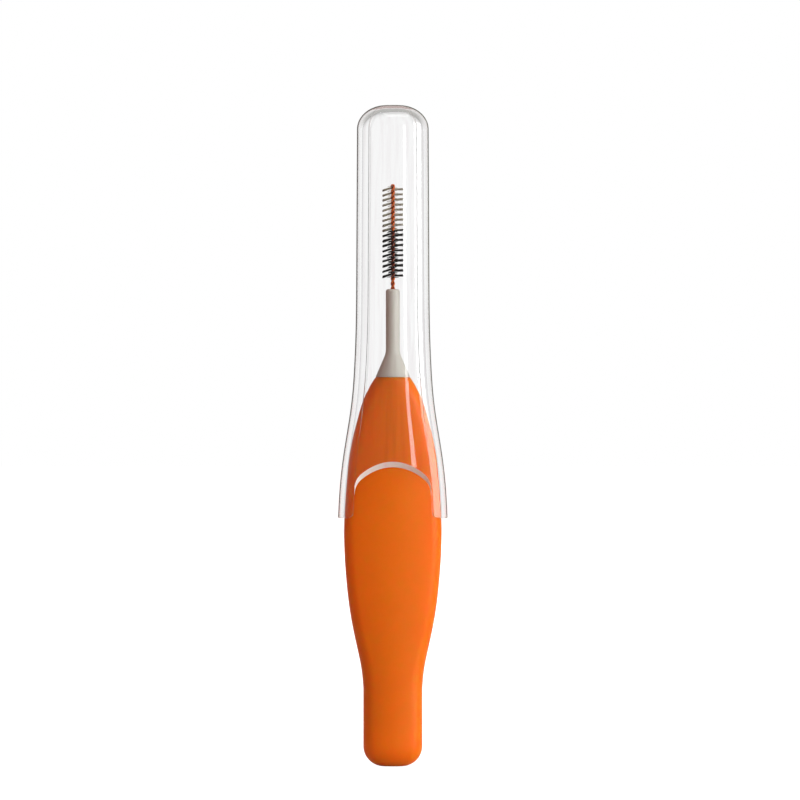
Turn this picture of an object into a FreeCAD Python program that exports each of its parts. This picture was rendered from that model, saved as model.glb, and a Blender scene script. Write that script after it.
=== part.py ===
"""Interdental brush: a two-shot handle, a twisted-wire bristle head and a clear slip-on cap.

Millimetres. +Z runs from the tail of the handle to the tip of the brush, the broad front face looks
towards -Y, and the origin is the middle of the flat end of the tail.
"""
import FreeCAD
import Part
import Sketcher

import math
import os

Vector = FreeCAD.Vector
UP = Vector(0, 0, 1)

# Driving sizes in millimetres, one sheet cell each.
SIZES = {
    # grip, the soft outer half of the handle
    "tail_width": 7.36,
    "tail_depth": 4.4,
    "tail_length": 9.75,
    "tail_end_height": 2.5,
    "tail_end_width_radius": 2.5,
    "tail_end_depth_radius": 1.5,
    "grip_width": 12.2,
    "grip_depth": 4.6,
    "grip_widest_height": 29.25,
    "grip_length": 48.6,
    "neck_diameter": 4.26,
    # core, the rigid half of the handle with the stem
    "core_foot_height": 5.0,
    "blade_width": 4.8,
    "blade_thickness": 1.7,
    "blade_length": 35.0,
    "window_width": 1.8,
    "window_length": 6.5,
    "window_margin": 4.5,
    "spine_diameter": 2.6,
    "spine_overlap": 5.0,
    "cone_length": 3.0,
    "cone_blend_radius": 2.5,
    "stem_diameter": 1.72,
    "stem_length": 8.0,
    "stem_edge_radius": 0.3,
    # wire, folded in two and twisted
    "wire_diameter": 0.275,
    "twist_pitch": 1.27,
    "anchor_depth": 6.0,
    "socket_clearance": 0.01,
    "bare_wire_length": 1.65,
    # bristles
    "filament_diameter": 0.07,
    "filament_spacing": 0.0078,
    "pinch_clearance": 0.01,
    "brush_diameter": 2.6,
    # cap
    "cap_wall": 0.66,
    "cap_top_wall": 0.78,
    "cap_headroom": 8.9,
    "cap_narrowing": 0.1,
    "cap_dome_height": 3.0,
    "cap_dome_width_radius": 3.6,
    "cap_dome_depth_radius": 2.4,
    "cap_mouth_offset": 1.8,
    "seat_clearance": 0.15,
    "tail_clearance": 0.14,
    # finger notch in the front and back of the cap
    "notch_width": 9.5,
    "notch_mouth_width": 9.8,
    "notch_spring_height": 3.75,
    "notch_crown_height": 2.6,
    "notch_rise": 0.7,
    "leg_corner_radius": 0.7,
    # how far every cutting tool runs past what it cuts
    "cut_overrun": 2.0,
}

# Height share and size share of the grip from the tail up to its widest section.
RISE_SHARES = ((0.0, 0.0), (0.115, 0.09), (0.27, 0.34), (0.46, 0.65), (0.69, 0.88), (1.0, 1.0))
# Height share and size share of the grip from its widest section up to the neck.
TAPER_SHARES = ((0.0, 0.0), (0.195, 0.04), (0.35, 0.096), (0.58, 0.247), (0.736, 0.436), (0.89, 0.688),
                (1.0, 1.0))
# The cap sits on the grip up to this share of the taper.
SEAT_HEIGHT_SHARE = 0.58
# Height share and opening share of the cap from its seat up to the straight tube.
FLARE_SHARES = ((0.157, 0.64), (0.314, 0.36), (0.471, 0.2), (0.707, 0.06), (1.0, 0.0))
# Quarter-turn shares of the sections that round an end, from the flat tip to the full section.
END_TURN_SHARES = (1.0, 0.78, 0.56, 0.34, 0.15, 0.0)

# Direction of the surface where the side arc of an oval meets its flatter front arc.
OVAL_JOIN_ANGLE = math.radians(75)
# The same for the arch of the finger notch.
NOTCH_JOIN_ANGLE = math.radians(60)

ROWS = 18
LIGHT_ROWS = 9
# Filaments of one row, counted in steps up or down the twist from the middle of the row.
FAN_STEPS = (-2, -1, 0, 1, 2)
# The row where the colours change has its lower filaments in the dark colour.
MIXED_ROW = 9
QUARTERS_PER_TURN = 4
WINDOWS = 2

doc = FreeCAD.newDocument("interdental_brush")
sheet = doc.addObject("Spreadsheet::Sheet", "Sizes")
for line_number, (alias, value) in enumerate(SIZES.items(), start=1):
    sheet.set(f"A{line_number}", alias)
    sheet.set(f"B{line_number}", str(value))
    sheet.setAlias(f"B{line_number}", alias)
doc.recompute()


def size(alias):
    """A driving size as the sheet holds it."""
    return float(sheet.get(alias))


def origin_plane(body, role):
    """One of the origin planes of a body, by its role."""
    return next(plane for plane in body.Origin.OriginFeatures if plane.Role == role)


def new_sketch(body, name, role):
    """An empty sketch on an origin plane of its own body."""
    sketch = body.newObject("Sketcher::SketchObject", name)
    sketch.AttachmentSupport = (origin_plane(body, role), [""])
    sketch.MapMode = "FlatFace"
    return sketch


def bind(sketch, constraint, expression):
    """Add a dimension to a sketch and bind it to the sheet."""
    index = sketch.addConstraint(constraint)
    sketch.setExpression(f"Constraints[{index}]", expression)


def add_closed_lines(sketch, corners):
    """Join corners into one closed outline of straight lines."""
    for start, end in zip(corners, corners[1:] + corners[:1]):
        sketch.addGeometry(Part.LineSegment(start, end))
    for edge in range(len(corners)):
        sketch.addConstraint(Sketcher.Constraint("Coincident", edge, 2, (edge + 1) % len(corners), 1))


def lathe_profile(body, name, corners):
    """A half profile in the XZ plane. Each corner is a radius and a height, as sheet expressions."""
    sketch = new_sketch(body, name, "XZ_Plane")
    points = [Vector(float(doc.Sizes.evalExpression(radius)), float(doc.Sizes.evalExpression(height)), 0)
              for radius, height in corners]
    add_closed_lines(sketch, points)
    for edge, (radius, height) in enumerate(corners):
        if points[edge].x == 0:
            sketch.addConstraint(Sketcher.Constraint("PointOnObject", edge, 1, -2))
        else:
            bind(sketch, Sketcher.Constraint("DistanceX", -1, 1, edge, 1, points[edge].x), radius)
        bind(sketch, Sketcher.Constraint("DistanceY", -1, 1, edge, 1, points[edge].y), height)
    return sketch


def centred_rectangle(sketch, width, depth):
    """A rectangle about the origin of its sketch, with its two sides bound to sheet cells."""
    half_width = size(width) / 2
    half_depth = size(depth) / 2
    add_closed_lines(sketch, [Vector(-half_width, -half_depth, 0), Vector(half_width, -half_depth, 0),
                              Vector(half_width, half_depth, 0), Vector(-half_width, half_depth, 0)])
    sketch.addConstraint(Sketcher.Constraint("Horizontal", 0))
    sketch.addConstraint(Sketcher.Constraint("Vertical", 1))
    sketch.addConstraint(Sketcher.Constraint("Horizontal", 2))
    sketch.addConstraint(Sketcher.Constraint("Vertical", 3))
    sketch.addConstraint(Sketcher.Constraint("Symmetric", 0, 1, 2, 1, -1, 1))
    bind(sketch, Sketcher.Constraint("DistanceX", 0, 1, 0, 2, 2 * half_width), f"Sizes.{width}")
    bind(sketch, Sketcher.Constraint("DistanceY", 1, 1, 1, 2, 2 * half_depth), f"Sizes.{depth}")


def round_edge_at(shape, height, radius):
    """The name of the full round edge with this height and radius."""
    for number, edge in enumerate(shape.Edges, start=1):
        curve = edge.Curve
        if isinstance(curve, Part.Circle) and edge.isClosed():
            if math.isclose(curve.Radius, radius, rel_tol=1e-6):
                if math.isclose(curve.Center.z, height, rel_tol=1e-6):
                    return f"Edge{number}"
    raise ValueError(f"no round edge at height {height}")


def round_off(body, name, height, edge_radius, radius_alias):
    """Round one full round edge of a body, with the radius bound to the sheet."""
    doc.recompute()
    base = body.Tip
    fillet = body.newObject("PartDesign::Fillet", name)
    fillet.Base = (base, [round_edge_at(base.Shape, height, edge_radius)])
    fillet.setExpression("Radius", f"Sizes.{radius_alias}")


def oval_radii(half_width, half_depth, join_angle):
    """Radii of the flatter and the rounder arcs of an oval of four tangent arcs.

    The arcs meet where the outline faces the join angle, measured from the width. An oval as deep as it is
    wide is a circle.
    """
    cosine = math.cos(join_angle)
    sine = math.sin(join_angle)
    slant = (1 - cosine) / sine
    front_radius = (half_width - half_depth * slant) / (cosine - slant * (1 - sine))
    side_radius = (half_depth - front_radius * (1 - sine)) / sine
    return front_radius, side_radius


def oval(half_width, half_depth, height):
    """A level oval: two flatter arcs front and back, two rounder arcs at the sides."""
    front_radius, side_radius = oval_radii(half_width, half_depth, OVAL_JOIN_ANGLE)
    join_x = front_radius * math.cos(OVAL_JOIN_ANGLE)
    join_y = side_radius * math.sin(OVAL_JOIN_ANGLE)
    right = Vector(half_width, 0, height)
    back = Vector(0, half_depth, height)
    left = Vector(-half_width, 0, height)
    front = Vector(0, -half_depth, height)
    right_back = Vector(join_x, join_y, height)
    left_back = Vector(-join_x, join_y, height)
    left_front = Vector(-join_x, -join_y, height)
    right_front = Vector(join_x, -join_y, height)
    arcs = [Part.Arc(right_front, right, right_back), Part.Arc(right_back, back, left_back),
            Part.Arc(left_back, left, left_front), Part.Arc(left_front, front, right_front)]
    return Part.Wire([arc.toShape() for arc in arcs])


def rounded_end(tip_height, full_height, half_width, half_depth, width_radius, depth_radius):
    """Ovals that close a straight end with a quarter-ellipse rounding, from the flat tip inwards."""
    sections = []
    for turn_share in END_TURN_SHARES:
        turn = turn_share * math.pi / 2
        inset = 1 - math.cos(turn)
        height = full_height + (tip_height - full_height) * math.sin(turn)
        sections.append(oval(half_width - width_radius * inset, half_depth - depth_radius * inset, height))
    return sections


def loft(name, sections, ruled=False):
    """A solid carried through level ovals."""
    feature = doc.addObject("Part::Feature", name)
    feature.Shape = Part.makeLoft(sections, True, ruled)
    return feature


def boolean(kind, name, base, tool):
    """A cut or a union of two objects."""
    feature = doc.addObject(f"Part::{kind}", name)
    feature.Base = base
    feature.Tool = tool
    return feature


def grip_stations():
    """Height, half width and half depth of each grip section from the tail up to the neck."""
    tail = (size("tail_length"), size("tail_width") / 2, size("tail_depth") / 2)
    widest = (size("grip_widest_height"), size("grip_width") / 2, size("grip_depth") / 2)
    neck = (size("grip_length"), size("neck_diameter") / 2, size("neck_diameter") / 2)
    rising = [between(tail, widest, *shares) for shares in RISE_SHARES]
    tapering = [between(widest, neck, *shares) for shares in TAPER_SHARES]
    return rising, tapering


def between(low, high, height_share, size_share):
    """A section between two others."""
    height = low[0] + (high[0] - low[0]) * height_share
    half_width = low[1] + (high[1] - low[1]) * size_share
    half_depth = low[2] + (high[2] - low[2]) * size_share
    return height, half_width, half_depth


def make_grip_form():
    """The outside of the handle up to the neck, without the hollow that the core fills."""
    half_width = size("tail_width") / 2
    half_depth = size("tail_depth") / 2
    rounding_top = size("tail_end_height")
    end = loft("tail_end", rounded_end(0, rounding_top, half_width, half_depth,
                                       size("tail_end_width_radius"), size("tail_end_depth_radius")))
    tail = loft("tail_plug", [oval(half_width, half_depth, rounding_top),
                              oval(half_width, half_depth, size("tail_length"))], True)
    rising, tapering = grip_stations()
    swell = loft("grip_swell", [oval(half, depth, height) for height, half, depth in rising + tapering[1:]])
    return boolean("Fuse", "grip_form", boolean("Fuse", "tail_form", end, tail), swell)


def make_core():
    """The rigid core: a windowed blade and a spine in the grip, a neck cone and a stem with a socket."""
    body = doc.addObject("PartDesign::Body", "handle_core")
    cone_top = "Sizes.grip_length + Sizes.cone_length"
    stem_top = f"{cone_top} + Sizes.stem_length"
    spine_foot = "Sizes.core_foot_height + Sizes.blade_length - Sizes.spine_overlap"
    profile = lathe_profile(body, "core_profile", [
        ("0", spine_foot),
        ("Sizes.spine_diameter / 2", spine_foot),
        ("Sizes.spine_diameter / 2", "Sizes.grip_length"),
        ("Sizes.neck_diameter / 2", "Sizes.grip_length"),
        ("Sizes.stem_diameter / 2", cone_top),
        ("Sizes.stem_diameter / 2", stem_top),
        ("0", stem_top),
    ])
    turned = body.newObject("PartDesign::Revolution", "spine_cone_and_stem")
    turned.Profile = profile
    turned.ReferenceAxis = (profile, ["V_Axis"])

    blade_sketch = new_sketch(body, "blade_section", "XY_Plane")
    blade_sketch.setExpression("AttachmentOffset.Base.z", "Sizes.core_foot_height")
    centred_rectangle(blade_sketch, "blade_width", "blade_thickness")
    blade = body.newObject("PartDesign::Pad", "blade")
    blade.Profile = blade_sketch
    blade.setExpression("Length", "Sizes.blade_length")

    pitch = "(Sizes.blade_length - Sizes.spine_overlap - Sizes.window_margin) / " + str(WINDOWS)
    for number in range(WINDOWS):
        window_sketch = new_sketch(body, f"window_outline_{number + 1}", "XZ_Plane")
        window_sketch.setExpression(
            "AttachmentOffset.Base.y",
            f"Sizes.core_foot_height + Sizes.window_margin + Sizes.window_length / 2 + {number} * {pitch}")
        centred_rectangle(window_sketch, "window_width", "window_length")
        window = body.newObject("PartDesign::Pocket", f"window_{number + 1}")
        window.Profile = window_sketch
        window.Type = "ThroughAll"
        window.Midplane = True

    stem_radius = size("stem_diameter") / 2
    cone_top_height = size("grip_length") + size("cone_length")
    round_off(body, "cone_blend", cone_top_height, stem_radius, "cone_blend_radius")
    round_off(body, "stem_tip", stem_top_level(), stem_radius, "stem_edge_radius")

    socket_sketch = new_sketch(body, "socket_outline", "XY_Plane")
    socket_sketch.setExpression("AttachmentOffset.Base.z", stem_top)
    twisted_diameter = "2 * Sizes.wire_diameter + Sizes.filament_diameter + Sizes.pinch_clearance"
    circle = sketch_circle(socket_sketch, twisted_wire_radius() + size("socket_clearance"))
    bind(socket_sketch, circle, f"({twisted_diameter}) / 2 + Sizes.socket_clearance")
    socket = body.newObject("PartDesign::Pocket", "wire_socket")
    socket.Profile = socket_sketch
    # The cut ends of the wire lean, so each reaches below its middle by up to half its diameter.
    lowest_wire = twist_start()[0] - size("wire_diameter") / 2
    socket.Length = stem_top_level() - lowest_wire + size("socket_clearance")
    doc.recompute()
    return body


def sketch_circle(sketch, radius):
    """Draw a circle about the origin of a sketch and give the constraint that holds its radius."""
    edge = sketch.addGeometry(Part.Circle(Vector(0, 0, 0), UP, radius))
    sketch.addConstraint(Sketcher.Constraint("Coincident", edge, 3, -1, 1))
    return Sketcher.Constraint("Radius", edge, radius)


def stem_top_level():
    """Height of the top of the stem."""
    return size("grip_length") + size("cone_length") + size("stem_length")


def strand_offset():
    """Distance of each strand's middle from the axis: the strands pinch one filament between them."""
    return (size("wire_diameter") + size("filament_diameter") + size("pinch_clearance")) / 2


def twisted_wire_radius():
    """Outside radius of the twisted pair."""
    return strand_offset() + size("wire_diameter") / 2


def row_height(row):
    """Height of the middle of a bristle row, counted from 1 at the tip."""
    return stem_top_level() + size("bare_wire_length") + (ROWS - row) * size("twist_pitch") / 2


def filament_step():
    """Rise from one filament of a row to the next."""
    return size("filament_diameter") + size("filament_spacing")


def strand_angle(height):
    """Direction of the first strand at a height. At the middle of a row the strands stand front and back."""
    return math.pi / 2 + 2 * math.pi * (height - row_height(1)) / size("twist_pitch")


def twist_end():
    """Height where the strands leave the twist, just above the top row."""
    return row_height(1) + FAN_STEPS[-1] * filament_step() + size("filament_diameter")


def twist_start():
    """Height of the lower ends of the wire, a whole number of quarter turns down, and that number."""
    quarter = size("twist_pitch") / QUARTERS_PER_TURN
    quarters = math.ceil((twist_end() - stem_top_level() + size("anchor_depth")) / quarter)
    return twist_end() - quarters * quarter, quarters


def wire_tip_level():
    """Height of the top of the loop at the tip."""
    return twist_end() + size("twist_pitch") / QUARTERS_PER_TURN + twisted_wire_radius()


def biarc(start, start_direction, end, end_direction):
    """Two tangent arcs between two points with given directions."""
    chord = end - start
    both = start_direction + end_direction
    square = 2 * (start_direction.dot(end_direction) - 1)
    linear = -2 * chord.dot(both)
    constant = chord.dot(chord)
    reach = (-linear - math.sqrt(linear * linear - 4 * square * constant)) / (2 * square)
    first_corner = start + start_direction * reach
    last_corner = end - end_direction * reach
    middle = (first_corner + last_corner) / 2
    return [arc_by_corner(start, first_corner, middle), arc_by_corner(middle, last_corner, end)]


def arc_by_corner(start, corner, end):
    """The arc that touches two equal legs, from a start to an end, whose tangents cross at a corner."""
    middle = (start + end) / 2
    cosine = (start - middle).Length / (start - corner).Length
    crown = middle + (corner - middle) * (cosine / (1 + cosine))
    return Part.Arc(start, crown, end).toShape()


def strand_edges(phase):
    """One strand from its lower end to the foot of the loop, as biarcs of a quarter turn each."""
    offset = strand_offset()
    rise_per_radian = size("twist_pitch") / (2 * math.pi)
    start, quarters = twist_start()
    quarter = size("twist_pitch") / QUARTERS_PER_TURN
    points = []
    directions = []
    for step in range(quarters + 2):
        height = start + step * quarter
        angle = strand_angle(height) + phase
        points.append(Vector(offset * math.cos(angle), offset * math.sin(angle), height))
        along = Vector(-offset * math.sin(angle), offset * math.cos(angle), rise_per_radian)
        directions.append(along.normalize())
    directions[-1] = UP
    edges = []
    for step in range(quarters + 1):
        edges += biarc(points[step], directions[step], points[step + 1], directions[step + 1])
    return edges, points, directions


def make_wire():
    """The wire as one unbroken tube: up one strand, over the loop at the tip and down the other strand."""
    rising, points, directions = strand_edges(0)
    falling, far_points, _ = strand_edges(math.pi)
    top = (points[-1] + far_points[-1]) / 2 + UP * strand_offset()
    loop = Part.Arc(points[-1], top, far_points[-1]).toShape()
    path = Part.Wire(rising + [loop] + falling[::-1])
    section = Part.Wire(Part.Circle(points[0], directions[0], size("wire_diameter") / 2).toShape())
    feature = doc.addObject("Part::Feature", "twisted_wire")
    feature.Shape = path.makePipeShell([section], True, False)
    gap = 2 * strand_offset() - size("wire_diameter")
    print(f"wire: length {path.Length:.3f}, gap between strands {gap:.4f}")
    expected = path.Length * section.Length * size("wire_diameter") / 4
    print(f"wire: volume {feature.Shape.Volume:.5f}, section times length {expected:.5f}")
    return feature


def make_filament(name, height):
    """One straight bristle that passes between the strands, square to both."""
    filament = doc.addObject("Part::Cylinder", name)
    filament.setExpression("Radius", "Sizes.filament_diameter / 2")
    filament.setExpression("Height", "Sizes.brush_diameter")
    angle = strand_angle(height) + math.pi / 2
    along = Vector(math.cos(angle), math.sin(angle), 0)
    start = UP * height - along * (size("brush_diameter") / 2)
    filament.Placement = FreeCAD.Placement(start, FreeCAD.Rotation(UP, along))
    return filament


def make_row(name, row, steps):
    """The filaments of one row in one colour."""
    filaments = [make_filament(f"{name}_filament_{number}", row_height(row) + step * filament_step())
                 for number, step in enumerate(steps, start=1)]
    group = doc.addObject("Part::Compound", name)
    group.Links = filaments
    return group


def make_bristles():
    """Light rows at the tip and dark rows below, with one row shared at the change of colour."""
    groups = []
    for row in range(1, LIGHT_ROWS + 1):
        steps = [step for step in FAN_STEPS if row != MIXED_ROW or step >= 0]
        groups.append(make_row(f"light_bristle_row_{row}", row, steps))
    for row in range(MIXED_ROW, ROWS + 1):
        steps = [step for step in FAN_STEPS if row != MIXED_ROW or step < 0]
        groups.append(make_row(f"dark_bristle_row_{row - MIXED_ROW + 1}", row, steps))
    return groups


def cap_stations():
    """Height, half width and half depth inside the cap, from the widest grip section to the tube."""
    clearance = size("seat_clearance")
    tube_width = size("tail_width") / 2 + size("tail_clearance") + size("cap_narrowing")
    tube_depth = size("tail_depth") / 2 + size("tail_clearance")
    tapering = grip_stations()[1]
    seat = [(height, max(half_width + clearance, tube_width), max(half_depth + clearance, tube_depth))
            for (height, half_width, half_depth), (height_share, _) in zip(tapering, TAPER_SHARES)
            if height_share <= SEAT_HEIGHT_SHARE]
    seat_top = seat[-1]
    tube = (stem_top_level(), tube_width, tube_depth)
    flare = [(seat_top[0] + (tube[0] - seat_top[0]) * height_share,
              tube[1] + (seat_top[1] - tube[1]) * opening_share,
              tube[2] + (seat_top[2] - tube[2]) * opening_share)
             for height_share, opening_share in FLARE_SHARES]
    return seat + flare


def cap_form(name, wall, top, dome_height):
    """A closed form of the cap: its inside with no wall, or its outside with the wall added."""
    stations = [(height, half_width + wall, half_depth + wall)
                for height, half_width, half_depth in cap_stations()]
    flare = loft(f"{name}_flare", [oval(half_width, half_depth, height)
                                   for height, half_width, half_depth in stations])
    tube_start, tube_width, tube_depth = stations[-1]
    end_width = tube_width - size("cap_narrowing")
    end_depth = tube_depth
    dome_start = top - dome_height
    tube = loft(f"{name}_tube", [oval(tube_width, tube_depth, tube_start),
                                 oval(end_width, end_depth, dome_start)], True)
    rounding = dome_height / size("cap_dome_height")
    dome = loft(f"{name}_dome", rounded_end(top, dome_start, end_width, end_depth,
                                            size("cap_dome_width_radius") * rounding,
                                            size("cap_dome_depth_radius") * rounding))
    return boolean("Fuse", name, boolean("Fuse", f"{name}_straight", flare, tube), dome)


def prism(name, edges, direction):
    """A solid that carries a closed outline along a direction."""
    feature = doc.addObject("Part::Feature", name)
    feature.Shape = Part.Face(Part.Wire(edges)).extrude(direction)
    return feature


def lines_through(points):
    """Straight edges through points."""
    return [Part.LineSegment(start, end).toShape() for start, end in zip(points, points[1:])]


def mouth_level():
    """Height of the mouth of the cap."""
    return size("grip_widest_height") + size("cap_mouth_offset")


def make_notch_tool(name, facing):
    """The arched finger notch on one face of the cap, cut on a slope so that its crown shows as a bevel."""
    half_width = size("notch_width") / 2
    half_mouth = size("notch_mouth_width") / 2
    crown = size("notch_crown_height")
    overrun = size("cut_overrun")
    slope = size("notch_rise") / size("cap_wall")
    inner_face = size("grip_depth") / 2 + size("seat_clearance")
    # The outline lies on the middle plane of the cap and climbs to its true height at the inner face.
    spring = mouth_level() + size("notch_spring_height") - inner_face * slope
    foot = mouth_level() - inner_face * slope - overrun
    crown_radius, shoulder_radius = oval_radii(half_width, crown, NOTCH_JOIN_ANGLE)
    half_turn = NOTCH_JOIN_ANGLE / 2
    shoulder_x = half_width - shoulder_radius * (1 - math.cos(half_turn))
    shoulder_z = spring + shoulder_radius * math.sin(half_turn)
    join_x = crown_radius * math.cos(NOTCH_JOIN_ANGLE)
    join_z = spring + shoulder_radius * math.sin(NOTCH_JOIN_ANGLE)
    right = Vector(half_width, 0, spring)
    left = Vector(-half_width, 0, spring)
    right_join = Vector(join_x, 0, join_z)
    left_join = Vector(-join_x, 0, join_z)
    edges = lines_through([left, Vector(-half_mouth, 0, foot), Vector(half_mouth, 0, foot), right])
    edges.append(Part.Arc(right, Vector(shoulder_x, 0, shoulder_z), right_join).toShape())
    edges.append(Part.Arc(right_join, Vector(0, 0, spring + crown), left_join).toShape())
    edges.append(Part.Arc(left_join, Vector(-shoulder_x, 0, shoulder_z), left).toShape())
    reach = inner_face + size("cap_wall") + overrun
    return prism(name, edges, Vector(0, facing * reach, reach * slope))


def make_mouth_tool():
    """All that lies below the mouth of the cap, with the rounded inner corners of its two legs."""
    mouth = mouth_level()
    radius = size("leg_corner_radius")
    corner = size("notch_mouth_width") / 2
    margin = size("seat_clearance") + size("cap_wall") + size("cut_overrun")
    half_width = size("grip_width") / 2 + margin
    half_depth = size("grip_depth") / 2 + margin
    foot = size("grip_widest_height") - size("cut_overrun")
    inset = radius * (1 - math.cos(math.pi / 4))

    def at(x, z):
        return Vector(x, half_depth, z)

    edges = [Part.Arc(at(corner, mouth + radius), at(corner + inset, mouth + inset),
                      at(corner + radius, mouth)).toShape()]
    edges += lines_through([at(corner + radius, mouth), at(half_width, mouth), at(half_width, foot),
                            at(-half_width, foot), at(-half_width, mouth), at(-corner - radius, mouth)])
    edges.append(Part.Arc(at(-corner - radius, mouth), at(-corner - inset, mouth + inset),
                          at(-corner, mouth + radius)).toShape())
    edges += lines_through([at(-corner, mouth + radius), at(corner, mouth + radius)])
    return prism("mouth_tool", edges, Vector(0, -2 * half_depth, 0))


def make_cap():
    """The clear cap: a flared oval tube with a domed end and a finger notch front and back."""
    inner_top = wire_tip_level() + size("cap_headroom")
    outer_top = inner_top + size("cap_top_wall")
    wall = size("cap_wall")
    outside = cap_form("cap_outside", wall, outer_top, size("cap_dome_height"))
    inside = cap_form("cap_inside", 0, inner_top, size("cap_dome_height") - wall)
    shell = boolean("Cut", "cap_shell", outside, inside)
    open_shell = boolean("Cut", "cap_open_shell", shell, make_mouth_tool())
    front_cut = boolean("Cut", "cap_front_notched", open_shell, make_notch_tool("front_notch_tool", -1))
    return boolean("Cut", "cap", front_cut, make_notch_tool("back_notch_tool", 1))


core = make_core()
grip = boolean("Cut", "grip_sleeve", make_grip_form(), core)
subparts = [core, grip, make_wire(), make_cap()] + make_bristles()
doc.recompute()

for item in doc.Objects:
    if {"Invalid", "Error"} & set(item.State):
        raise RuntimeError(f"{item.Label} did not build: {item.State}")
for subpart in subparts:
    if subpart.Shape.isNull() or not subpart.Shape.isValid():
        raise RuntimeError(f"{subpart.Label} has no valid shape")

os.makedirs("parts", exist_ok=True)
for subpart in subparts:
    subpart.Shape.exportStep(f"parts/{subpart.Label}.step")
    print(f"{subpart.Label}: {len(subpart.Shape.Solids)} solid(s), volume {subpart.Shape.Volume:.4f}")
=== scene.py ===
"""Interdental brush with a soft-grip handle, a twisted-wire bristle head and a clear cap.

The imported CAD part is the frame: +Z runs from the tail of the handle to the dome of the cap, and the broad
front looks towards -Y. Every piece here is a surface worked out with numpy in millimetres, which become the
frame's metres when it is made a mesh. The studio is in metres, and its lens and sensor in millimetres.
"""
from __future__ import annotations

import logging
import math
from dataclasses import dataclass, field
from enum import Enum

import bpy
import numpy as np
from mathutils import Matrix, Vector

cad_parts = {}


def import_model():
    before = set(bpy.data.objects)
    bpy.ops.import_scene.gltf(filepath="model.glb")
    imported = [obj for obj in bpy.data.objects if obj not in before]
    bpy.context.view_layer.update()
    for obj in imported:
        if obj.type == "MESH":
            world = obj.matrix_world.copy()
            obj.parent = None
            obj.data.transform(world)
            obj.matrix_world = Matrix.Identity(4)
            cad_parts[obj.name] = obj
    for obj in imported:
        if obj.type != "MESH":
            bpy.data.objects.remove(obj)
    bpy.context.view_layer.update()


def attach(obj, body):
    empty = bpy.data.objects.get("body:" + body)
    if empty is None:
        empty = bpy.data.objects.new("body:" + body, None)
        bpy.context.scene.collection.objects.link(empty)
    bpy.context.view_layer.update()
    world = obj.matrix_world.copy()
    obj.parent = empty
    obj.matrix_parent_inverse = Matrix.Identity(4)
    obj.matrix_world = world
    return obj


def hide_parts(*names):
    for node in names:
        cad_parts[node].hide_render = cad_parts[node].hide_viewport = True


LOG = logging.getLogger("interdental_brush")
MM = 0.001
UP = np.array([0.0, 0.0, 1.0])
DRIFT_DETAIL = 3.0
GRAIN_DETAIL = 2.0
Array = np.ndarray

# Height share and size share of the grip from its straight tail towards its widest section.
RISE_SHARES = np.array([(0.0, 0.0), (0.115, 0.09), (0.27, 0.34), (0.46, 0.65), (0.69, 0.88)])
# The same from the widest section up to the neck.
TAPER_SHARES = np.array([(0.0, 0.0), (0.195, 0.04), (0.35, 0.096), (0.58, 0.247), (0.736, 0.436),
                         (0.89, 0.688), (1.0, 1.0)])
# So many sections from the widest one up carry the cap.
SEAT_SECTIONS = 4
# The same shares for the inside of the cap, from its seat up to its tube and along the tube.
FLARE_SHARES = np.array([(0.157, 0.36), (0.314, 0.64), (0.471, 0.8), (0.707, 0.94), (1.0, 1.0)])
TUBE_SHARES = np.array([(1 / 3, 1 / 3), (2 / 3, 2 / 3), (1.0, 1.0)])


class Body(Enum):
    """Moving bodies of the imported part."""

    HANDLE = "handle"
    CAP = "cap"


class Slot(Enum):
    """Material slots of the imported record."""

    GRIP = "grip_rubber"
    CORE = "core_plastic"
    WIRE = "wire_coating"
    LIGHT_NYLON = "light_nylon"
    DARK_NYLON = "dark_nylon"
    CAP = "cap_clear"


class Tone(Enum):
    """Colour of a bristle filament."""

    LIGHT = "light"
    DARK = "dark"


def linear_rgba(hex_value: str, alpha: float = 1.0) -> tuple[float, float, float, float]:
    """Turn an sRGB hex colour into linear light.

    Args:
        hex_value: Colour such as "#E26614".
        alpha: Fourth channel.

    Returns:
        Linear red, green, blue and the given alpha.
    """
    channels = np.array([int(hex_value[i:i + 2], 16) for i in (1, 3, 5)]) / 255.0
    light = np.where(channels <= 0.04045, channels / 12.92, ((channels + 0.055) / 1.055) ** 2.4)
    return (*light.tolist(), alpha)


def add_node(tree: bpy.types.NodeTree, kind: str, inputs: dict | None = None, **settings) -> bpy.types.Node:
    """Add one shader node, set its options, and set or link its inputs.

    Args:
        tree: Node tree that takes the node.
        kind: Blender's type name of the node.
        inputs: Input name or number to a value, or to the socket that feeds it.
        settings: Options of the node.

    Returns:
        The new node.
    """
    node = tree.nodes.new(kind)
    for name, value in settings.items():
        setattr(node, name, value)
    for key, value in (inputs or {}).items():
        if isinstance(value, bpy.types.NodeSocket):
            tree.links.new(value, node.inputs[key])
        else:
            node.inputs[key].default_value = value
    return node


def per_metre(size_mm: float) -> float:
    """Texture scale whose pattern repeats about once in a size given in millimetres."""
    return 1.0 / (size_mm * MM)


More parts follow.
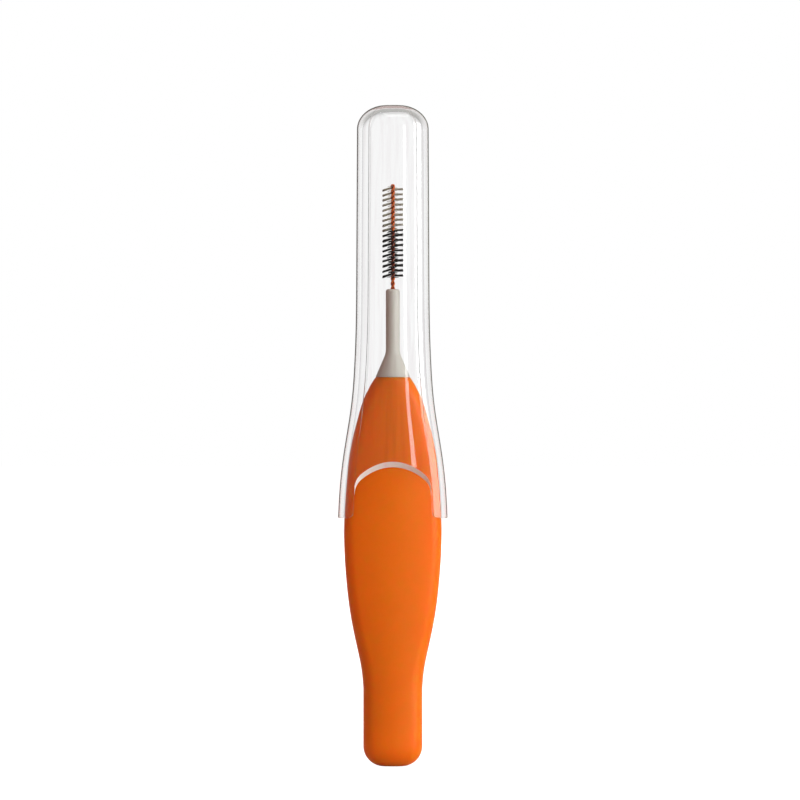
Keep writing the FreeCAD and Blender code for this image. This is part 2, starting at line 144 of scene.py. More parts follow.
def natural_spline(stations: Array, heights: Array) -> Array:
    """Smooth curve through stations: cubics whose slope and curvature run on, with straight ends.

    Args:
        stations: Rows of a height and one or more values.
        heights: Heights to read, of any shape.

    Returns:
        The values, with one more axis than the heights.
    """
    knots, values = stations[:, 0], stations[:, 1:]
    steps = np.diff(knots)
    rises = np.diff(values, axis=0) / steps[:, None]
    count = len(knots)
    matrix = np.eye(count)
    inner = np.arange(1, count - 1)
    matrix[inner, inner - 1] = steps[:-1]
    matrix[inner, inner] = 2 * (steps[:-1] + steps[1:])
    matrix[inner, inner + 1] = steps[1:]
    right = np.zeros_like(values)
    right[1:-1] = 6 * np.diff(rises, axis=0)
    bends = np.linalg.solve(matrix, right)
    span = np.clip(np.searchsorted(knots, heights) - 1, 0, count - 2)
    step = steps[span][..., None]
    ahead = knots[span + 1][..., None] - heights[..., None]
    behind = heights[..., None] - knots[span][..., None]
    return ((bends[span] * ahead ** 3 + bends[span + 1] * behind ** 3) / (6 * step)
            + (values[span] / step - bends[span] * step / 6) * ahead
            + (values[span + 1] / step - bends[span + 1] * step / 6) * behind)


def sections_between(start: Array, end: Array, shares: Array) -> Array:
    """Sections part of the way from one to another: start + share (end - start).

    Args:
        start: Height, half width and half depth of one section.
        end: The same of the other.
        shares: Rows of a share for the height and a share for the sizes.

    Returns:
        Rows of height, half width and half depth.
    """
    return start + (end - start) * shares[:, [0, 1, 1]]


@dataclass(frozen=True)
class Oval:
    """An oval of four tangent arcs: flatter ones front and back, rounder ones at the sides.

    A point is named by the direction its surface faces. With unit normal (nx, ny), the flat arcs have
    radius F and the side arcs radius S, and they meet where the normal stands at the join angle from the
    width.
    """

    join_angle: float = math.radians(75)

    def radii(self, half_width: Array, half_depth: Array) -> tuple[Array, Array]:
        """Radii of the flat and the side arcs, from tangency of the two arcs at the join angle.

        Args:
            half_width: Half widths.
            half_depth: Half depths.

        Returns:
            Flat radii and side radii.
        """
        cosine, sine = math.cos(self.join_angle), math.sin(self.join_angle)
        slant = (1 - cosine) / sine
        flat = (half_width - half_depth * slant) / (cosine - slant * (1 - sine))
        side = (half_depth - flat * (1 - sine)) / sine
        return flat, side

    def points(self, facing: Array, half_width: Array, half_depth: Array) -> tuple[Array, Array]:
        """Points by facing angle, counted from -Y towards +X.

        Flat arcs: (F nx, F ny - sign(ny) (F - half depth)).
        Side arcs: (sign(nx) (half width - S) + S nx, S ny).

        Args:
            facing: Angles of the outward normal.
            half_width: Half widths, of a shape that fits the angles.
            half_depth: Half depths, of a shape that fits the angles.

        Returns:
            X and Y of the points.
        """
        nx, ny = np.sin(facing), -np.cos(facing)
        flat, side = self.radii(half_width, half_depth)
        on_flat = np.abs(ny) >= math.sin(self.join_angle)
        x = np.where(on_flat, flat * nx, np.sign(nx) * (half_width - side) + side * nx)
        y = np.where(on_flat, flat * ny - np.sign(ny) * (flat - half_depth), side * ny)
        return x, y

    def facing_at(self, x: Array, half_width: Array, half_depth: Array) -> Array:
        """Facing angle, 0 to a quarter turn, of the front-right point with a given X.

        Args:
            x: Places along the width, not negative.
            half_width: Half widths there.
            half_depth: Half depths there.

        Returns:
            Facing angles.
        """
        flat, side = self.radii(half_width, half_depth)
        on_flat = x <= flat * math.cos(self.join_angle)
        sine = np.where(on_flat, x / flat, (x - (half_width - side)) / side)
        return np.arcsin(np.clip(sine, 0.0, 1.0))


OVAL = Oval()


def mesh_object(name: str, points: Array, faces: list, material: bpy.types.Material) -> bpy.types.Object:
    """Put points in millimetres and faces into a smooth mesh at the origin.

    Args:
        name: Name of the piece.
        points: Rows of X, Y and Z in millimetres.
        faces: Corner numbers of each face.
        material: Finish of the piece.

    Returns:
        The new object, linked to the scene.
    """
    mesh = bpy.data.meshes.new(name)
    mesh.from_pydata((points * MM).tolist(), [], faces)
    mesh.polygons.foreach_set("use_smooth", np.ones(len(mesh.polygons), bool))
    mesh.materials.append(material)
    mesh.update()
    piece = bpy.data.objects.new(name, mesh)
    bpy.context.scene.collection.objects.link(piece)
    return piece


def closed_skin(grid: Array) -> tuple[Array, list]:
    """Close a grid whose rows are rings: quads between rings, and a fan to a middle point at each end.

    Rings run counter-clockwise seen from above and rows run from top to bottom on the outside, so quads
    (top, bottom, next bottom, next top) face outwards.

    Args:
        grid: Rings by points by XYZ.

    Returns:
        Points and faces.
    """
    rows, columns = grid.shape[:2]
    index = np.arange(rows * columns).reshape(rows, columns)
    following = np.roll(index, -1, axis=1)
    quads = np.stack([index[:-1], index[1:], following[1:], following[:-1]], axis=-1).reshape(-1, 4)
    first, last = rows * columns, rows * columns + 1
    top = np.stack([np.full(columns, first), index[0], following[0]], axis=-1)
    bottom = np.stack([np.full(columns, last), following[-1], index[-1]], axis=-1)
    points = np.concatenate([grid.reshape(-1, 3), grid[:1].mean(axis=1), grid[-1:].mean(axis=1)])
    return points, quads.tolist() + top.tolist() + bottom.tolist()


def place(piece: bpy.types.Object, body: Body, slot: Slot, *nodes: str) -> None:
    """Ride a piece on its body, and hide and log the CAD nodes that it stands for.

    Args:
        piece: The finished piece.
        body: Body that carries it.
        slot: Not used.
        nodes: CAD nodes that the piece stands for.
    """
    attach(piece, body.value)
    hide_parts(*nodes)
    LOG.info("%s: %d faces on %s for %s", piece.name, len(piece.data.polygons), body.value, ", ".join(nodes))


def new_material(name: str) -> tuple[bpy.types.Material, bpy.types.NodeTree, bpy.types.Node]:
    """An empty node material.

    Args:
        name: Name of the finish.

    Returns:
        The material, its tree and its output node.
    """
    material = bpy.data.materials.new(name)
    material.use_nodes = True
    material.node_tree.nodes.clear()
    output = add_node(material.node_tree, "ShaderNodeOutputMaterial")
    return material, material.node_tree, output


@dataclass(frozen=True)
class MouldedFinish:
    """A moulded polymer: two close colours that drift, a fine grain from the mould, and an even gloss."""

    name: str
    colour: str
    drift_colour: str
    drift_mm: float
    grain_mm: float
    grain_height_mm: float
    roughness: tuple[float, float]
    specular: float = 0.5
    ior: float = 1.5
    stretch: float = 1.0
    subsurface: float = 0.0
    subsurface_mm: float = 0.5
    subsurface_spread: tuple[float, float, float] = (1.0, 0.2, 0.1)
    transmission: float = 0.0
    # Attribute and colour of painted shade, where the piece has one.
    shade: str = ""
    shade_colour: str = "#000000"

    def build(self) -> bpy.types.Material:
        """Make the material.

        Returns:
            A material that reads Object coordinates, and the piece's painted shade attribute where it has
            one.
        """
        material, tree, output = new_material(self.name)
        place_in_piece = add_node(tree, "ShaderNodeTexCoord").outputs["Object"]
        flow = add_node(tree, "ShaderNodeMapping",
                        {"Vector": place_in_piece, "Scale": (1.0, 1.0, self.stretch)})
        drift = add_node(tree, "ShaderNodeTexNoise",
                         {"Vector": flow.outputs[0], "Scale": per_metre(self.drift_mm),
                          "Detail": DRIFT_DETAIL})
        grain = add_node(tree, "ShaderNodeTexNoise",
                         {"Vector": place_in_piece, "Scale": per_metre(self.grain_mm),
                          "Detail": GRAIN_DETAIL})
        colour = add_node(tree, "ShaderNodeMix",
                          {"Factor": drift.outputs["Fac"], "A": linear_rgba(self.colour),
                           "B": linear_rgba(self.drift_colour)}, data_type="RGBA")
        # Painted shade from the piece's attribute.
        if self.shade:
            depth = add_node(tree, "ShaderNodeAttribute", attribute_name=self.shade)
            colour = add_node(tree, "ShaderNodeMix",
                              {"Factor": depth.outputs["Fac"], "A": colour.outputs["Result"],
                               "B": linear_rgba(self.shade_colour)}, data_type="RGBA")
        gloss = add_node(tree, "ShaderNodeMapRange",
                         {"Value": grain.outputs["Fac"], "To Min": self.roughness[0],
                          "To Max": self.roughness[1]})
        bump = add_node(tree, "ShaderNodeBump",
                        {"Height": grain.outputs["Fac"], "Strength": 1.0,
                         "Distance": self.grain_height_mm * MM})
        shader = add_node(tree, "ShaderNodeBsdfPrincipled",
                          {"Base Color": colour.outputs["Result"], "Roughness": gloss.outputs["Result"],
                           "Normal": bump.outputs["Normal"], "IOR": self.ior,
                           "Specular IOR Level": self.specular, "Subsurface Weight": self.subsurface,
                           "Subsurface Radius": self.subsurface_spread,
                           "Subsurface Scale": self.subsurface_mm * MM,
                           "Transmission Weight": self.transmission})
        tree.links.new(shader.outputs["BSDF"], output.inputs["Surface"])
        return material


@dataclass(frozen=True)
class ClearFinish:
    """Clear moulded polystyrene: it bends what is seen through it, and its rims are painted grey, a painted
    shade for the dark outlines that clear walls show at a slant.

    The rims are where sight enters it at a slant. Lamps, scattered light and mirror images from the pieces
    inside pass it straight, as they do a thin clear wall, and each face lets through this share of them:
    face pass (1 - (1 - cosine)^slant power). Sight that was mirrored more often than the mirror limit passes
    it straight and whole. Faces mirror less from within than from outside.
    """

    name: str = "clear_polystyrene"
    colour: str = "#FFFFFF"
    flow_colour: str = "#F6F3F4"
    flow_mm: float = 0.6
    flow_stretch: float = 0.05
    flow_range: tuple[float, float] = (0.5, 0.68)
    # Painted shade of the slanted rims.
    rim_shade_colour: str = "#4E5A4A"
    rim_start: float = 0.58
    rim_end: float = 0.80
    clear: float = 1.0
    rim_clear: float = 0.1
    reflection: str = "#FFFFFF"
    inner_reflection: str = "#484848"
    ior: float = 1.5
    scuff_mm: float = 0.6
    roughness: tuple[float, float] = (0.0, 0.05)
    face_pass: float = 0.98
    slant_power: float = 4.0
    mirror_limit: float = 1.5

    def build(self) -> bpy.types.Material:
        """Make the material.

        Returns:
            A clear material.
        """
        material, tree, output = new_material(self.name)
        place_in_piece = add_node(tree, "ShaderNodeTexCoord").outputs["Object"]
        scuff = add_node(tree, "ShaderNodeTexNoise",
                         {"Vector": place_in_piece, "Scale": per_metre(self.scuff_mm),
                          "Detail": DRIFT_DETAIL})
        gloss = add_node(tree, "ShaderNodeMapRange",
                         {"Value": scuff.outputs["Fac"], "To Min": self.roughness[0],
                          "To Max": self.roughness[1]})
        # At this blend, Facing is 1 - cosine of the slant.
        edge = add_node(tree, "ShaderNodeLayerWeight", {"Blend": 0.5})
        # Painted shade: grey, less clear rims where sight meets an outer face at a slant.
        rim_shade = add_node(tree, "ShaderNodeMapRange",
                       {"Value": edge.outputs["Facing"], "From Min": self.rim_start,
                        "From Max": self.rim_end}, interpolation_type="SMOOTHSTEP")
        back = add_node(tree, "ShaderNodeNewGeometry").outputs["Backfacing"]
        entered = add_node(tree, "ShaderNodeMath", {0: 1.0, 1: back}, operation="SUBTRACT")
        rim_shade = add_node(tree, "ShaderNodeMath", {0: rim_shade.outputs["Result"], 1: entered.outputs[0]},
                       operation="MULTIPLY")
        along = add_node(tree, "ShaderNodeVectorMath",
                         {0: place_in_piece, 1: (1.0, 1.0, self.flow_stretch)}, operation="MULTIPLY")
        flow = add_node(tree, "ShaderNodeTexNoise",
                        {"Vector": along.outputs["Vector"], "Scale": per_metre(self.flow_mm),
                         "Detail": GRAIN_DETAIL})
        line = add_node(tree, "ShaderNodeMapRange",
                        {"Value": flow.outputs["Fac"], "From Min": self.flow_range[0],
                         "From Max": self.flow_range[1]})
        body = add_node(tree, "ShaderNodeMix",
                        {"Factor": line.outputs["Result"], "A": linear_rgba(self.colour),
                         "B": linear_rgba(self.flow_colour)}, data_type="RGBA")
        colour = add_node(tree, "ShaderNodeMix",
                          {"Factor": rim_shade.outputs[0], "A": body.outputs["Result"],
                           "B": linear_rgba(self.rim_shade_colour)}, data_type="RGBA")
        clearness = add_node(tree, "ShaderNodeMapRange",
                             {"Value": rim_shade.outputs[0], "To Min": self.clear, "To Max": self.rim_clear})
        mirror = add_node(tree, "ShaderNodeMix",
                          {"Factor": back, "A": linear_rgba(self.reflection),
                           "B": linear_rgba(self.inner_reflection)}, data_type="RGBA")
        glass = add_node(tree, "ShaderNodeBsdfPrincipled",
                         {"Base Color": colour.outputs["Result"], "Roughness": gloss.outputs["Result"],
                          "IOR": self.ior, "Transmission Weight": clearness.outputs["Result"],
                          "Specular Tint": mirror.outputs["Result"]})
        slant = add_node(tree, "ShaderNodeMath", {0: edge.outputs["Facing"], 1: self.slant_power},
                         operation="POWER")
        passed = add_node(tree, "ShaderNodeMapRange",
                          {"Value": slant.outputs[0], "To Min": self.face_pass, "To Max": 0.0})
        path = add_node(tree, "ShaderNodeLightPath")
        worn = add_node(tree, "ShaderNodeMath", {0: path.outputs["Glossy Depth"], 1: self.mirror_limit},
                        operation="GREATER_THAN")
        left = add_node(tree, "ShaderNodeMath", {0: passed.outputs["Result"], 1: worn.outputs[0]},
                        operation="MAXIMUM")
        clear = add_node(tree, "ShaderNodeBsdfTransparent", {"Color": left.outputs[0]})
        # Sight is within the plastic after an odd number of passes through its faces.
        within = add_node(tree, "ShaderNodeMath", {0: path.outputs["Transmission Depth"], 1: 2.0},
                          operation="MODULO")
        outside = add_node(tree, "ShaderNodeMath", {0: 1.0, 1: within.outputs[0]}, operation="SUBTRACT")
        mirrored = add_node(tree, "ShaderNodeMath",
                            {0: path.outputs["Is Glossy Ray"], 1: outside.outputs[0]}, operation="MULTIPLY")
        light = add_node(tree, "ShaderNodeMath",
                         {0: path.outputs["Is Shadow Ray"], 1: path.outputs["Is Diffuse Ray"]},
                         operation="MAXIMUM")
        other = add_node(tree, "ShaderNodeMath", {0: worn.outputs[0], 1: mirrored.outputs[0]},
                         operation="MAXIMUM")
        straight = add_node(tree, "ShaderNodeMath", {0: light.outputs[0], 1: other.outputs[0]},
                            operation="MAXIMUM")
        mixed = add_node(tree, "ShaderNodeMixShader",
                         {0: straight.outputs[0], 1: glass.outputs[0], 2: clear.outputs[0]})
        tree.links.new(mixed.outputs[0], output.inputs["Surface"])
        return material


# Thermoplastic elastomer moulded over the core: saturated, satin, with a faint grain.
GRIP_FINISH = MouldedFinish("overmoulded_elastomer", "#EE7D12", "#E77710", drift_mm=3.0, grain_mm=0.16,
                            grain_height_mm=0.004, roughness=(0.34, 0.44), specular=0.16, subsurface=1.0,
                            subsurface_mm=2.2, subsurface_spread=(1.0, 0.08, 0.03))
# Polypropylene core: milky, satin, with flow lines along the stem.
CORE_FINISH = MouldedFinish("moulded_polypropylene", "#C7CFC8", "#C0C7BE", drift_mm=0.5, grain_mm=0.12,
                            grain_height_mm=0.004, roughness=(0.30, 0.42), specular=0.35, stretch=0.12,
                            subsurface=0.6, subsurface_mm=0.7, subsurface_spread=(0.9, 1.0, 0.9))
# Steel wire in a coloured polymer coat: glossy and slightly uneven in colour, with painted shade in the
# grooves of the twist, deeper where black filaments pack it.
WIRE_FINISH = MouldedFinish("polymer_coated_wire", "#D06A22", "#BE5216", drift_mm=0.25, grain_mm=0.06,
                            grain_height_mm=0.002, roughness=(0.22, 0.36), specular=0.4, shade="groove_shade",
                            shade_colour="#4A1006")
# Natural nylon filament: pale and partly clear.
LIGHT_NYLON = MouldedFinish("natural_nylon", "#B4B4A0", "#96957F", drift_mm=0.3, grain_mm=0.05,
                            grain_height_mm=0.001, roughness=(0.25, 0.40), ior=1.53, transmission=0.4)
# Black nylon filament: dark with a soft shine.
DARK_NYLON = MouldedFinish("black_nylon", "#0E0C0A", "#1A1513", drift_mm=0.3, grain_mm=0.05,
                           grain_height_mm=0.001, roughness=(0.40, 0.55), ior=1.53, specular=0.2)
# Clear polystyrene from a polished mould: colourless, with sharp reflections, faint flow lines and painted
# grey shade at its slanted rims.
CAP_FINISH = ClearFinish()
# The same plastic where the arch of the notch was cut: frosted, so it scatters light.
CUT_FINISH = ClearFinish("frosted_polystyrene", colour="#F6FFFC", rim_shade_colour="#EEF8F2", clear=0.1,
                         rim_clear=0.1, scuff_mm=0.1, roughness=(0.45, 0.60))


@dataclass
class HandleCore:
    """Rigid core: a flat blade and a spine inside the grip, the neck cone and the stem with its socket."""

    foot: float = 5.0
    blade_half_width: float = 2.4
    blade_half_depth: float = 0.85
    blade_top: float = 35.0
    spine_start: float = 40.0
    spine_radius: float = 1.3
    round_power: float = 2.0
    blade_power: float = 10.0
    neck_height: float = 48.6
    neck_radius: float = 2.13
    cone_length: float = 3.0
    cone_blend: float = 2.5
    stem_radius: float = 0.86
    stem_top: float = 59.6
    stem_edge: float = 0.3
    seam_edge: float = 0.06
    socket_radius: float = 0.325
    socket_floor: float = 53.38
    # Middle of the turn at the seam, in seam edges outwards and up.
    seam_middle: tuple[float, float] = (-0.25, 0.2)
    # Points around, and rows of each stretch with both of its ends.
    columns: int = 72
    spine_rows: int = 8
    morph_rows: int = 12
    blade_rows: int = 16
    socket_rows: int = 12
    edge_rows: int = 10
    blend_rows: int = 12
    stem_rows: int = 24
    cone_rows: int = 14

    def hidden_sections(self, clearance: float) -> Array:
        """Height, half width, half depth and squareness of the part inside the grip, from the neck down.

        The round spine runs straight, then turns into the blade by a smooth step.

        Args:
            clearance: Added all round, for the hollow of the grip.

        Returns:
            Rows from top to bottom.
        """
        spine = np.linspace(self.neck_height, self.spine_start, self.spine_rows)
        morph = np.linspace(self.spine_start, self.blade_top, self.morph_rows)[1:]
        blade = np.linspace(self.blade_top, self.foot - clearance, self.blade_rows)[1:]
        heights = np.concatenate([spine, morph, blade])
        share = np.clip((self.spine_start - heights) / (self.spine_start - self.blade_top), 0.0, 1.0)
        share = share * share * (3 - 2 * share)
        half_width = self.spine_radius + (self.blade_half_width - self.spine_radius) * share + clearance
        half_depth = self.spine_radius + (self.blade_half_depth - self.spine_radius) * share + clearance
        power = self.round_power + (self.blade_power - self.round_power) * share
        return np.stack([heights, half_width, half_depth, power], axis=-1)

    @staticmethod
    def superellipse(sections: Array, columns: int) -> Array:
        """Rings of |x/w|^n + |y/d|^n = 1, drawn as w sign(s)|s|^(2/n) and d sign(c)|c|^(2/n).

        Args:
            sections: Rows of height, half width, half depth and n.
            columns: Points on each ring.

        Returns:
            Rings by points by XYZ.
        """
        angle = np.arange(columns) * 2 * math.pi / columns
        sine, cosine = np.sin(angle)[None], -np.cos(angle)[None]
        height, half_width, half_depth, power = (sections[:, i, None] for i in range(4))
        x = half_width * np.sign(sine) * np.abs(sine) ** (2 / power)
        y = half_depth * np.sign(cosine) * np.abs(cosine) ** (2 / power)
        return np.stack([x, y, np.broadcast_to(height, x.shape)], axis=-1)

    def lathe_profile(self) -> Array:
        """Radius and height of the turned part, from the socket floor over the stem down to the neck.

        Straight runs are joined by arcs of the edge and blend radii, and the foot of the cone turns in at the
        seam with the grip.

        Returns:
            Rows of radius and height.
        """
        socket_height = np.linspace(self.socket_floor, self.stem_top, self.socket_rows)
        socket = np.stack([np.full_like(socket_height, self.socket_radius), socket_height], axis=-1)
        turn = np.linspace(0.0, math.pi / 2, self.edge_rows)
        edge = np.stack([self.stem_radius - self.stem_edge * (1 - np.sin(turn)),
                         self.stem_top - self.stem_edge * (1 - np.cos(turn))], axis=-1)
        cone_top = self.neck_height + self.cone_length
        slope = math.atan2(self.neck_radius - self.stem_radius, self.cone_length)
        reach = self.cone_blend * math.tan(slope / 2)
        bend = np.linspace(0.0, slope, self.blend_rows)
        blend = np.stack([self.stem_radius + self.cone_blend * (1 - np.cos(bend)),
                          cone_top + reach - self.cone_blend * np.sin(bend)], axis=-1)
        stem = np.linspace(edge[-1], blend[0], self.stem_rows)[1:-1]
        foot = np.array([self.neck_radius, self.neck_height])
        turn_in = np.array([(-math.sin(slope), math.cos(slope)), self.seam_middle, (-1.0, 0.0)])
        seam = foot + self.seam_edge * turn_in
        cone = np.linspace(blend[-1], seam[0], self.cone_rows)[1:-1]
        return np.concatenate([socket, edge, stem, blend, cone, seam])

    def build(self) -> bpy.types.Object:
        """Make the core.

        Returns:
            The dressed piece.
        """
        profile = self.lathe_profile()
        power = np.full(len(profile), self.round_power)
        turned = np.stack([profile[:, 1], profile[:, 0], profile[:, 0], power], axis=-1)
        sections = np.concatenate([turned, self.hidden_sections(0.0)])
        points, faces = closed_skin(self.superellipse(sections, self.columns))
        return mesh_object("stem_and_core", points, faces, CORE_FINISH.build())


@dataclass
class GripSleeve:
    """Soft grip: an oval bar with a rounded tail, a swell and a shoulder that runs up to the neck."""

    core: HandleCore
    # Height, half width and half depth of the top of the straight tail and of the widest section.
    tail: Array = field(default_factory=lambda: np.array([9.75, 3.68, 2.2]))
    widest: Array = field(default_factory=lambda: np.array([29.25, 6.1, 2.3]))
    tail_rounding: float = 2.5
    tail_width_radius: float = 2.5
    tail_depth_radius: float = 1.5
    lip_radius: float = 0.09
    hollow_clearance: float = 0.012
    # Half width and half depth of an average section, over which the columns are spread.
    average: tuple[float, float] = (5.0, 2.3)
    fine_steps: int = 4096
    columns: int = 120
    lip_rows: int = 6
    swell_rows: int = 130
    straight_rows: int = 13
    end_rows: int = 17

    def rising(self) -> Array:
        """Sections from the straight tail up to below the widest one."""
        return sections_between(self.tail, self.widest, RISE_SHARES)

    def tapering(self) -> Array:
        """Sections from the widest one up to the neck, where the grip is as wide as the core."""
        neck = np.array([self.core.neck_height, self.core.neck_radius, self.core.neck_radius])
        return sections_between(self.widest, neck, TAPER_SHARES)

    def ring_angles(self) -> Array:
        """Facing angles of a ring whose points spread evenly over the average oval.

        Returns:
            One angle for each column.
        """
        fine = np.linspace(0.0, 2 * math.pi, self.fine_steps + 1)
        x, y = OVAL.points(fine, *(np.full_like(fine, half) for half in self.average))
        length = np.concatenate([[0.0], np.cumsum(np.hypot(np.diff(x), np.diff(y)))])
        return np.interp(np.arange(self.columns) * length[-1] / self.columns, length, fine)

    def outside_sections(self) -> Array:
        """Height, half width and half depth from the lip down to the flat end of the tail.

        The swell is a smooth curve through the stations, and the tail closes with a quarter ellipse:
        inset = radius (1 - cos t), height = rounding (1 - sin t).

        Returns:
            Rows from top to bottom.
        """
        stations = np.concatenate([self.rising(), self.tapering()])
        tail_top, half_width, half_depth = self.tail
        top = self.core.neck_height
        turn = np.linspace(0.0, math.pi / 2, self.lip_rows + 1)[1:]
        lip = np.full((self.lip_rows, 3), stations[-1])
        lip[:, 0] = top - self.lip_radius * (1 - np.sin(turn[::-1]))
        lip[:, 1:] -= self.lip_radius * (1 - np.cos(turn[::-1]))[:, None]
        heights = np.linspace(top - self.lip_radius, tail_top, self.swell_rows)
        swell = np.concatenate([heights[:, None], natural_spline(stations, heights)], axis=1)
        straight = np.full((self.straight_rows, 3), self.tail)
        straight[:, 0] = np.linspace(tail_top, self.tail_rounding, self.straight_rows + 1)[1:]
        close = np.linspace(0.0, math.pi / 2, self.end_rows + 1)[1:]
        inset = 1 - np.cos(close)
        end = np.stack([self.tail_rounding * (1 - np.sin(close)), half_width - self.tail_width_radius * inset,
                        half_depth - self.tail_depth_radius * inset], axis=-1)
        return np.concatenate([lip, swell, straight, end])

    def build(self) -> bpy.types.Object:
        """Make the sleeve with the hollow that the core fills.

        Returns:
            The dressed piece.
        """
        outside = self.outside_sections()
        facing = self.ring_angles()[None]
        height, half_width, half_depth = (outside[:, i, None] for i in range(3))
        x, y = OVAL.points(facing, half_width, half_depth)
        skin = np.stack([x, y, np.broadcast_to(height, x.shape)], axis=-1)
        hidden = self.core.hidden_sections(self.hollow_clearance)
        hollow = self.core.superellipse(hidden, self.columns)[::-1]
        points, faces = closed_skin(np.concatenate([hollow, skin]))
        return mesh_object("soft_grip", points, faces, GRIP_FINISH.build())


@dataclass
class TwistedWire:
    """One coated wire, folded in two at the tip and twisted right-handed."""

    wire_radius: float = 0.136
    strand_offset: float = 0.134
    pitch: float = 1.27
    front_height: float = 72.045
    start: float = 53.538
    twist_end: float = 72.151
    # Painted shade on the coat: dark in the grooves between the strands, and darker over this stretch where
    # black filaments pack the twist.
    dark_zone: tuple[float, float] = (60.95, 67.1)
    dark_fade: float = 0.2
    groove_start: float = 0.35
    groove_width: float = 0.9
    packing: float = 1.25
    sides: int = 12
    twist_rings: int = 420
    ease_rings: int = 8
    loop_rings: int = 15

    def angle(self, heights: Array) -> Array:
        """Direction of the first strand: it stands at the back where the top bristle row is."""
        return math.pi / 2 + 2 * math.pi * (heights - self.front_height) / self.pitch

    def strand(self, phase: float) -> tuple[Array, Array]:
        """Middle line of a strand and its direction away from the axis.

        A helix up to the end of the twist, then a quarter of a pitch in which a last sixth of a turn,
        pi/6 (3 s - s^3), eases to upright, so that the loop lies in the broad plane of the brush.

        Args:
            phase: Turn of the strand about the axis.

        Returns:
            Points and unit directions.
        """
        rise = np.linspace(self.start, self.twist_end, self.twist_rings)
        share = np.linspace(0.0, 1.0, self.ease_rings + 1)[1:]
        ease = self.twist_end + share * self.pitch / 4
        last_turn = math.pi / 6 * (3 * share - share ** 3)
        turn = np.concatenate([self.angle(rise), self.angle(np.array([self.twist_end])) + last_turn])
        height = np.concatenate([rise, ease])
        away = np.stack([np.cos(turn + phase), np.sin(turn + phase), np.zeros_like(turn)], axis=-1)
        return away * self.strand_offset + height[:, None] * UP, away

    def build(self) -> bpy.types.Object:
        """Make the wire: a circle carried up one strand, over a half-round loop and down the other.

        The painted shade is (groove start + packing p - outward) / groove width, where outward is 1 on the
        crests and
        -1 in the grooves, and p is 1 where black filaments pack the twist: painted shade in the grooves,
        deeper over the packed stretch.

        Returns:
            The dressed piece.
        """
        rising, rising_away = self.strand(0.0)
        falling, falling_away = self.strand(math.pi)
        turn = np.linspace(0.0, math.pi, self.loop_rings + 2)[1:-1, None]
        loop_away = np.cos(turn) * rising_away[-1] + np.sin(turn) * UP
        middle = UP * rising[-1, 2]
        line = np.concatenate([rising, middle + self.strand_offset * loop_away, falling[::-1]])
        away = np.concatenate([rising_away, loop_away, falling_away[::-1]])
        along = np.gradient(line, axis=0)
        along /= np.linalg.norm(along, axis=1, keepdims=True)
        across = np.cross(along, away)
        across /= np.linalg.norm(across, axis=1, keepdims=True)
        square = np.cross(across, along)
        round_turn = (np.arange(self.sides) * 2 * math.pi / self.sides)[None, :, None]
        ring = np.cos(round_turn) * square[:, None] + np.sin(round_turn) * across[:, None]
        grid = line[:, None] + self.wire_radius * ring
        points, faces = closed_skin(grid[::-1])
        piece = mesh_object("twisted_wire_core", points, faces, WIRE_FINISH.build())
        outward = np.cos(round_turn[0, :, 0])[None]
        height = line[::-1, 2:]
        packed = np.clip((self.dark_zone[1] - height) / self.dark_fade, 0.0, 1.0)
        packed = packed * np.clip((height - self.dark_zone[0]) / self.dark_fade, 0.0, 1.0)
        # Painted shade: dark where the coat faces into the twist, and darker in the packed stretch.
        groove_shade = self.groove_start + self.packing * packed - outward
        groove_shade = np.clip(groove_shade / self.groove_width, 0.0, 1.0).ravel()
        shade = piece.data.attributes.new(WIRE_FINISH.shade, "FLOAT", "POINT")
        shade.data.foreach_set("value", np.concatenate([groove_shade, [1.0, 1.0]]))
        return piece


